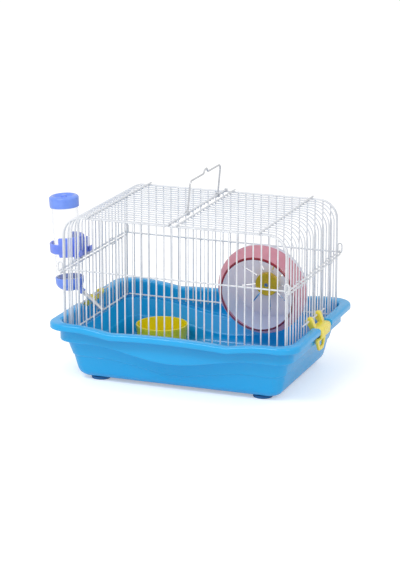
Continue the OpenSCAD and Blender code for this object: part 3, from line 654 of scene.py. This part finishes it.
# %% Hinge rings, corner loops, roof rests and latch bars
ROUND = np.linspace(0, 2 * np.pi, 28, endpoint=False)


def eye(x, y, z, size, radius, sides=8):
    """A closed ring of wire that stands in the X-Z plane."""
    path = np.stack([x + size * np.cos(ROUND), np.full_like(ROUND, y), z + size * np.sin(ROUND)], 1)
    return tube(path, radius, Y, sides=sides, closed=True)


rings = [eye(HINGE_X, s * 5.5 * PITCH, 160.5, 4.9, 0.8) for s in (-1, 1)]
piece("right_hinge_eyes", rings, wire_white, "cage", ["right_hinge_rings"])
piece("left_hinge_eyes", [mirrored(p, 0) for p in rings], wire_white, "cage",
      ["left_hinge_rings"])
f = np.linspace(0, np.pi, 11)
up_half = np.stack([HINGE_X + 3 * np.cos(f), 0 * f + 119.6, 171.45 + 3 * np.sin(f)], 1)
low_half = np.stack([HINGE_X - 3 * np.cos(f), 0 * f + 119.6, 163.45 - 3 * np.sin(f)], 1)
loop = tube(np.concatenate([up_half, low_half]), 1, Y, sides=10, closed=True)
loops = [loop, mirrored(loop, 0), mirrored(loop, 1), mirrored(mirrored(loop, 0), 1)]
piece("corner_wire_loops", loops, wire_white, "cage", ["corner_loops"])
REST_R = 0.8
REST_Z = ROOF_WIRE - STOUT - REST_R - 0.3
rests = []
for y in (-112.4, -7.5 * PITCH, 110.8):
    rests += [tube([(-8.5, y, REST_Z), (9.2, y, REST_Z)], REST_R, Y, sides=8),
              eye(-6, y + 1.64, ROOF_WIRE, 2.09, REST_R)]
piece("roof_rests", rests, wire_white, "cage", ["roof_hooks"])
BAR_Z = 95.5
bar = tube([(HINGE_X, -50, BAR_Z), (HINGE_X, 50, BAR_Z)], STOUT, X, sides=12)
piece("right_bar", [bar], wire_white, "cage", ["right_latch_bar"])
piece("left_bar", [mirrored(bar, 0)], wire_white, "cage", ["left_latch_bar"])
small_wires = ("right_hinge_eyes", "corner_wire_loops", "roof_rests", "right_bar")
print("rings, loops, rests and bars:", sum(made[n] for n in small_wires), "faces")

# %% [markdown]
# ## The latches
# Each latch is one moulding. A band runs from above the rim, over its edge, and in under the lip: a
# rounded rectangle swept along a bent line, wide at the top and narrower towards the tab. The tab is a
# frame round the finger hole. It is swept too: round its loop, from the hole's edge to the tab's edge.
# Two teeth hook round the bar.

# %% The latch's band
def rounded_box(half_wide, half_thick, edge, steps=3):
    """A section round its middle as (across, through) pairs, for arrays of sizes: each of its four
    corners is a quarter circle."""
    f = np.linspace(0, np.pi / 2, steps + 1)
    turns = np.concatenate([f + k * np.pi / 2 for k in range(4)])
    sx = np.repeat([1, -1, -1, 1], steps + 1)
    sz = np.repeat([1, 1, -1, -1], steps + 1)
    across = sx * (half_wide[:, None] - edge) + edge * np.cos(turns)
    through = sz * (half_thick - edge) + edge * np.sin(turns) + 0 * across
    return across, through


bar_spot = spot_at((HINGE_X, 0, BAR_Z))
TAB_X = 10.86
line = np.array([(3.5, -10.45, 21.8), (8, -10.45, 22.5), (17.36, -10.45, 22.5), (17.36, -22.4, 19.4),
                 (15.2, -24.7, 19.0), (TAB_X, -27.0, 19.6), (TAB_X, -31.0, 19.2)])
line = soften(line, np.array([1, 3, 4.4, 1.6, 1.4, 1.6, 1])[:, None], steps=5)
centre = np.stack([line[:, 0], 0 * line[:, 0], line[:, 1]], 1)
across, through = rounded_box(line[:, 2], 1.7, 1.1)
along = np.gradient(centre, axis=0)
face = np.cross(along, Y)
face /= np.linalg.norm(face, axis=1, keepdims=True)
band_grid = centre[:, None] + across[..., None] * Y + through[..., None] * face[:, None]
latch_band = surface(carry(band_grid, bar_spot), caps=True)

# %% The latch's tab and teeth
outer = soften([(-19.6, -27.5), (-18.6, -31.8), (-11.6, -42.5), (-8.6, -45.5), (8.6, -45.5), (11.6, -42.5),
                (18.6, -31.8), (19.6, -27.5)], 2.4, steps=4, closed=True)
inner = soften([(-10.6, -31.2), (-9.7, -32.5), (-7.5, -38.9), (-6.7, -39.7), (6.7, -39.7), (7.5, -38.9),
                (9.7, -32.5), (10.6, -31.2)], 1.2, steps=4, closed=True)
middle, width = (outer + inner) / 2, np.linalg.norm(outer - inner, axis=1)
across, through = rounded_box(width / 2, 1.75, 0.9)
out = (outer - inner) / width[:, None]
flat = middle[:, None] + across[..., None] * out[:, None]
tab_grid = np.stack([TAB_X + through, flat[..., 0], flat[..., 1]], -1)
latch_tab = surface(carry(tab_grid, bar_spot), wrap_rows=True)


def arc(radius, start, end, steps):
    a = np.radians(np.linspace(start, end, steps))
    return np.stack([radius * np.cos(a), radius * np.sin(a)], 1)


tooth_outline = np.concatenate([[(-2.65, -4.35), (2.6, -11.7), (9, -9.2)], arc(5, 24, 213.5, 24),
                                arc(1.3, 175, -84, 20)])
tooth_spots = [spot_at((HINGE_X, y + 4.5, BAR_Z), X, Z, -Y) for y in (-18.15, 18.15)]
teeth = [plate(tooth_outline, 9, 0.45, s) for s in tooth_spots]
latch_parts = [latch_band, latch_tab, *teeth]
piece("right_snap_latch", latch_parts, latch_yellow, "right_latch", ["right_latch"], 50)
piece("left_snap_latch", [mirrored(p, 0) for p in latch_parts], latch_yellow, "left_latch",
      ["left_latch"], 50)
print("right_snap_latch:", made["right_snap_latch"], "faces")

# %% [markdown]
# ## The handle
# The handle is one bent wire in a plane that leans a little to the right. Its feet are eyes closed round
# the left roof wire.

# %% Handle
lean = np.radians(5)
lean_spot = spot_at((-6, 0, ROOF_WIRE), (np.cos(lean), 0, -np.sin(lean)), Y, (np.sin(lean), 0, np.cos(lean)))
near, far, top = -3.5 * PITCH, 6.5 * PITCH, 45.5
mid = (near + far) / 2
grip = [(near, 2.8), (near, top - 4), (near + 4, top), (mid - 8, top), (mid - 4, top + 6), (mid + 4, top + 6),
        (mid + 8, top), (far - 4, top), (far, top - 4), (far, 2.8)]
grip = soften(np.insert(np.array(grip, float), 0, 0, axis=1), 3.4, steps=5)
bar_part = tube(carry(grip, lean_spot), 1.3, lean_spot[1][0], sides=14)
eyes = [eye(-6, y, ROOF_WIRE, 2.8, 1.3, sides=12) for y in (near, far)]
piece("carry_handle", [bar_part, *eyes], handle_grey, "handle", ["handle"])
print("carry_handle:", made["carry_handle"], "faces")

# %% [markdown]
# ## The bowl and the bottle
# These are turned parts: a side outline with rounded corners, spun about an axis. The bottle's axis leans
# outwards by 3.5 degrees and the spout falls 40 degrees below level. The bottle is a shell with a real
# wall.

# %% Bowl
bowl_line = [(0, 0), (33.5, 0), (35, 1.5), (38.5, 34.5), (38.5, 37.5), (36, 37.5), (32.7, 4), (31, 2.5),
             (0, 2.5)]
bowl = lathe(soften(bowl_line, 1.2, steps=4), spot_at((-86, 58.5, 7.04)), steps=96)
piece("food_bowl", [bowl], bowl_yellow, "bowl", ["bowl"])
print("food_bowl:", made["food_bowl"], "faces")

# %% Bottle
BOTTLE_Y = -3.5 * PITCH
slope = np.radians(3.5)
bottle_up = np.array([-np.sin(slope), 0, np.cos(slope)])
bottle_spot = spot_at((-187, BOTTLE_Y, 111), (np.cos(slope), 0, np.sin(slope)), Y, bottle_up)
wall_line = [(17.1, 13.85), (18.3, 13.85), (18.3, 21), (19.8, 22.6), (19.8, 133), (18.6, 133), (18.6, 23),
             (17.1, 21.5)]
bottle = lathe(soften(wall_line, 0.5, closed=True), bottle_spot, steps=80, closed=True)
piece("clear_bottle", [bottle], bottle_clear, "cage", ["bottle_body"])
cap_line = [(0, 133.3), (20.1, 133.3), (20.1, 124), (21.2, 124), (21.5, 138.4), (17.6, 140.7), (15.4, 140.2),
            (11, 136), (5, 135.5), (4, 139.5), (3.2, 141), (0, 141)]
reach = np.array([1, 0.6, 0.5, 0.5, 2.0, 1.6, 1.6, 2, 2, 1, 1, 1])[:, None]
cap = lathe(soften(cap_line, reach, steps=4), bottle_spot, steps=80)
piece("bottle_top_cap", [cap], cap_blue, "bottle_cap", ["bottle_cap"])
f = np.linspace(0, np.pi / 2, 12)
dome = np.stack([20.5 * np.sin(f), 14 - 14 * np.cos(f)], 1)
cup = soften([(20.5, 14), (20.5, 21), (18.4, 21), (18.4, 12), (14, 12), (14, 9), (9, 5), (0, 5)], 0.6)
base = lathe(np.concatenate([dome, cup[1:]]), bottle_spot, steps=80)
drop = np.radians(40)
spout_dir = np.array([np.cos(drop), 0, -np.sin(drop)])
spout_spot = spot_at((-178, BOTTLE_Y, 120), (-np.sin(drop), 0, -np.cos(drop)), Y, spout_dir)
socket = lathe(soften([(3.02, 1), (4.6, 1), (4.6, 14.5), (3.02, 14.5)], 0.5, closed=True), spout_spot,
               steps=40, closed=True)
piece("bottle_foot", [base, socket], cap_blue, "cage", ["bottle_base"])
seal = lathe(soften([(16.1, 12), (18.3, 12), (18.3, 13.8), (16.1, 13.8)], 0.3, closed=True), bottle_spot,
             steps=64, closed=True)
piece("seal_ring", [seal], seal_rubber, "cage", ["bottle_seal"])
pipe = [(2.6, 3), (3, 3), (3, 52), (2.4, 53), (2, 53), (2, 52.4), (2.6, 52.1)]
pipe = lathe(soften(pipe, 0.3, closed=True), spout_spot, steps=32, closed=True)
piece("drinking_spout", [pipe], spout_steel, "cage", ["spout_tube"])
f = np.linspace(0, np.pi, 17)
ball = lathe(np.stack([2.5 * np.sin(f), 50.8 - 2.5 * np.cos(f)], 1), spout_spot, steps=32)
piece("spout_bead", [ball], spout_steel, "spout_ball", ["spout_ball"])
print("bottle parts:", {n: made[n] for n in ("clear_bottle", "bottle_top_cap", "bottle_foot")})

# %% [markdown]
# The holder grips the bottle with a tall saddle on the side of the wires, and with an arm that reaches
# round the bottle's front. A flat plate behind the saddle lies against the wires, and two fingers reach
# through and hook behind them.

# %% Bottle holder
def shell_arc(r0, r1, z0, z1, start, end, edge, steps=48):
    """A curved slab: a rounded section between two radii and two heights, swept through an angle about
    the bottle's axis. Over the last `edge` of both ends the section shrinks by edge (1 - sin f) while it
    comes edge (1 - cos f) in from the end, which rounds them."""
    f = np.linspace(0, np.pi / 2, 5)
    travel = edge * (1 - np.cos(f)) / r1
    start, end = np.radians([start, end])
    angle = np.concatenate([start + travel, np.linspace(start, end, steps)[2:-2], (end - travel)[::-1]])
    inset = np.concatenate([edge * (1 - np.sin(f)), np.zeros(steps - 4), edge * (1 - np.sin(f))[::-1]])
    across, through = rounded_box(np.full(len(angle), (z1 - z0) / 2), (r1 - r0) / 2, edge)
    across *= 1 - (inset / ((z1 - z0) / 2))[:, None]
    through *= 1 - (inset / ((r1 - r0) / 2))[:, None]
    r, z = (r0 + r1) / 2 + through, (z0 + z1) / 2 + across
    grid = np.stack([r * np.cos(angle)[:, None], r * np.sin(angle)[:, None], z], -1)
    return carry(grid, bottle_spot)


PLATE_X = -(HINGE_X + STOUT + 0.2)
FINGER_Z = 168
FAR_OFF = 1000
flat_to = [PLATE_X - 0.1, FAR_OFF, FAR_OFF]
arm = shell_arc(22.2, 25.2, 58.5, 72.5, -191, -60, 1.3)
saddle = shell_arc(19.9, 25.2, 54, 82, -97, 97, 1.6)
back_plate = block((PLATE_X - 2.2, BOTTLE_Y - 23, 162.5), (PLATE_X, BOTTLE_Y + 23, 188.5), 0.9)
fingers = []
for s in (-1, 1):
    y = BOTTLE_Y + s * PITCH - 2
    foot = y if s > 0 else y - 8
    fingers += [block((PLATE_X - 1, y, FINGER_Z), (3.6 - END_X, y + 4, FINGER_Z + 8), 0.8),
                block((1.4 - END_X, foot, FINGER_Z), (3.6 - END_X, foot + 12, FINGER_Z + 8), 0.8)]
grips = [surface(np.minimum(g, flat_to), caps=True) for g in (arm, saddle)]
piece("bottle_clip", [*grips, back_plate, *fingers], clip_blue, "cage", ["bottle_holder"])
print("bottle_clip:", made["bottle_clip"], "faces")

# %% [markdown]
# ## The running wheel
# The wheel bulges like a barrel: its radius is 55 + 12 (1 - (z/26 - 1)^2) at a height z along its axle. Its
# front half is clear pink, its back half is frosted white with nine slots, and a dark lip rims its mouth.

# %% Wheel
tilt = np.radians(6)
wheel_out = np.array([0, -np.cos(tilt), -np.sin(tilt)])
wheel_spot = spot_at((67.3, 95, 112.5), X, (0, -np.sin(tilt), np.cos(tilt)), wheel_out)


PIN_BORE = 3.06


def shell(z0, z1, proud, thick, edge):
    """A slice of the barrel's wall between two heights, with rounded ends."""
    z = np.linspace(z0, z1, 13)
    r = 55 + 12 * (1 - (z / 26 - 1) ** 2) + proud
    line = np.concatenate([np.stack([r, z], 1), np.stack([r - thick, z], 1)[::-1]])
    return lathe(soften(line, edge, steps=2, closed=True), wheel_spot, steps=128, closed=True)


piece("wheel_front_half", [shell(26.04, 50.36, 0, 1.6, 0.4)], wheel_pink, "wheel",
      ["wheel_band"])
piece("wheel_mouth_lip", [shell(50.4, 52, 0.2, 1.9, 0.5)], lip_red, "wheel", ["wheel_rim"])

# %% [markdown]
# The back disc is an open grid of rings. Each ring has nine equal sectors with a slot down the middle of
# each: five cells lead up to the slot's edge, one cell spans the slot, and five lead away. The cells that
# span a slot are left out. The slot's half width follows a circle near both ends, which rounds them.

# %% Back disc with nine slots
SLOTS, BESIDE = 9, 5
SLOT_FROM, SLOT_TO, SLOT_HALF = 20, 43.5, 0.9
inner_r = [PIN_BORE, 9, 15, 18]
slot_r = [SLOT_FROM, 20.1, 20.3, 20.6, 20.9, 26, 32, 38, 42.6, 42.9, 43.2, 43.4, SLOT_TO]
disc_r = np.array([*inner_r, *slot_r, 46, 50, 54.2])
from_end = np.clip(np.minimum(disc_r - SLOT_FROM, SLOT_TO - disc_r), 0, SLOT_HALF)
half_slot = np.maximum(SLOT_HALF * np.sqrt(1 - (1 - from_end / SLOT_HALF) ** 2), 0.08)
edge_angle = half_slot / disc_r
half_sector = np.radians(20)
side = edge_angle[:, None] + (half_sector - edge_angle[:, None]) * np.linspace(0, 1, BESIDE + 1)
offsets = np.concatenate([-side[:, :0:-1], -edge_angle[:, None], side[:, :-1]], 1)
slot_at = np.radians(32 + 40 * np.arange(SLOTS))
angles = (slot_at[None, :, None] + offsets[:, None]).reshape(len(disc_r), -1)
disc_grid = np.stack([disc_r[:, None] * np.cos(angles), disc_r[:, None] * np.sin(angles), 0 * angles], -1)
disc_faces = grid_faces(len(disc_r), angles.shape[1])
cell_row, cell_col = np.divmod(np.arange(len(disc_faces)), angles.shape[1])
spans_slot = cell_col % offsets.shape[1] == BESIDE
in_slot = spans_slot & (cell_row >= len(inner_r)) & (cell_row < len(inner_r) + len(slot_r) - 1)
disc = (carry(disc_grid.reshape(-1, 3), wheel_spot), [disc_faces[~in_slot]])
pan_disc = piece("wheel_back_disc", [disc], wheel_white, "wheel")
thick = pan_disc.modifiers.new("thickness", "SOLIDIFY")
thick.thickness, thick.offset = 0.002, 1.0
round_off = pan_disc.modifiers.new("rounded edges", "BEVEL")
round_off.width, round_off.segments, round_off.angle_limit = 0.0002, 2, np.radians(50)
piece("wheel_back_half", [shell(0, 26, 0, 1.6, 0.4)], wheel_white, "wheel", ["wheel_pan"])

# %% Hub, axle and clip
hub_line = [(PIN_BORE, 2), (17.3, 2), (17.3, 10), (PIN_BORE, 10)]
ribs = lathe(soften(hub_line, 0.7, closed=True), wheel_spot, steps=288, closed=True,
             ripple=lambda a: 1 - 0.02 * (0.5 + 0.5 * np.cos(36 * a)) ** 3)
piece("wheel_ribbed_hub", [ribs], hub_yellow, "wheel", ["wheel_hub"])
pin = lathe(soften([(0, -9), (3, -9), (3, 11.9), (0, 11.9)], 0.4), wheel_spot, steps=40)
piece("axle_pin", [pin], pin_steel, "cage", ["wheel_axle"])
washer_line = [(3, 10.3), (5.5, 10.3), (5.5, 11.5), (3, 11.5)]
washer = lathe(soften(washer_line, 0.25, closed=True), wheel_spot, steps=48, closed=True)
piece("push_on_clip", [washer], hub_yellow, "cage", ["axle_clip"])
dress("wheel_bracket", hub_yellow)
print("wheel parts:", {n: made[n] for n in made if n.startswith("wheel")})

# %% [markdown]
# ## Floor, light and camera
# The floor is a plain white table that looks brighter to the camera than it shines on the cage, as a
# lit studio table does, so only the contact shadow shows on it. A white sky lights everything evenly. A
# long key lamp, high at the front left, draws a soft line of light along the rim, and a small weak lamp
# at the front right softens the shadows.

# %% Floor
floor_mesh = bpy.data.meshes.new("floor")
FLOOR_HALF = 12.0
GLOW, GLOW_SEEN = 0.08, 0.36
floor_corners = [(x * FLOOR_HALF, y * FLOOR_HALF, 0) for x, y in ((-1, -1), (1, -1), (1, 1), (-1, 1))]
floor_mesh.from_pydata(floor_corners, [], [(0, 1, 2, 3)])
floor = bpy.data.objects.new("floor", floor_mesh)
bpy.context.scene.collection.objects.link(floor)
floor_white = bpy.data.materials.new("floor_white")
floor_white.use_nodes = True
floor_shader = floor_white.node_tree.nodes["Principled BSDF"]
floor_shader.inputs["Base Color"].default_value = (0.86, 0.86, 0.86, 1)
floor_shader.inputs["Roughness"].default_value = 0.6
floor_shader.inputs["Specular IOR Level"].default_value = 0.1
floor_shader.inputs["Emission Color"].default_value = (1, 1, 1, 1)
seen = add(floor_white.node_tree, "LightPath").outputs["Is Camera Ray"]
floor_glow = spread(floor_white.node_tree, seen, 0.0, 1.0, GLOW, GLOW_SEEN)
floor_white.node_tree.links.new(floor_glow, floor_shader.inputs["Emission Strength"])
floor_mesh.materials.append(floor_white)
print("floor half width:", FLOOR_HALF, "m")

# %% Light
world = bpy.data.worlds.new("white_room")
world.use_nodes = True
sky = world.node_tree.nodes["Background"]
sky.inputs["Color"].default_value = (1, 1, 1, 1)
sky.inputs["Strength"].default_value = 0.8
bpy.context.scene.world = world


def lamp(name, where, aim, wide, high, power):
    data = bpy.data.lights.new(name, "AREA")
    data.shape, data.size, data.size_y, data.energy = "RECTANGLE", wide, high, power
    o = bpy.data.objects.new(name, data)
    o.location = where
    o.rotation_euler = (Vector(aim) - Vector(where)).to_track_quat("-Z", "Y").to_euler()
    bpy.context.scene.collection.objects.link(o)
    return o


CAGE_MIDDLE = (0.01, 0, 0.12)
lamp("key", (-0.45, -1.1, 1.45), CAGE_MIDDLE, wide=1.1, high=0.35, power=11)
lamp("fill", (1.3, -0.8, 1.2), CAGE_MIDDLE, wide=0.5, high=0.5, power=3.5)
bpy.context.scene.view_settings.view_transform = "Standard"

# %% Camera
camera_data = bpy.data.cameras.new("camera")
camera_data.lens, camera_data.sensor_width = 139.3, 36
camera_data.clip_start, camera_data.clip_end = 0.1, 60
camera = bpy.data.objects.new("camera", camera_data)
camera.location = (1.09332, -2.83814, 0.96145)
to_cage = Vector((0.01148, 0, 0.12606)) - camera.location
camera.rotation_euler = to_cage.to_track_quat("-Z", "Y").to_euler()
bpy.context.scene.collection.objects.link(camera)
bpy.context.scene.camera = camera
print("camera distance:", round(to_cage.length, 3), "m")

# %% [markdown]
# ## Counts, and the end
# The number of dressed pieces and the number of their faces are printed.

# %% Counts and finish
print("pieces:", len(made), "faces:", sum(made.values()))
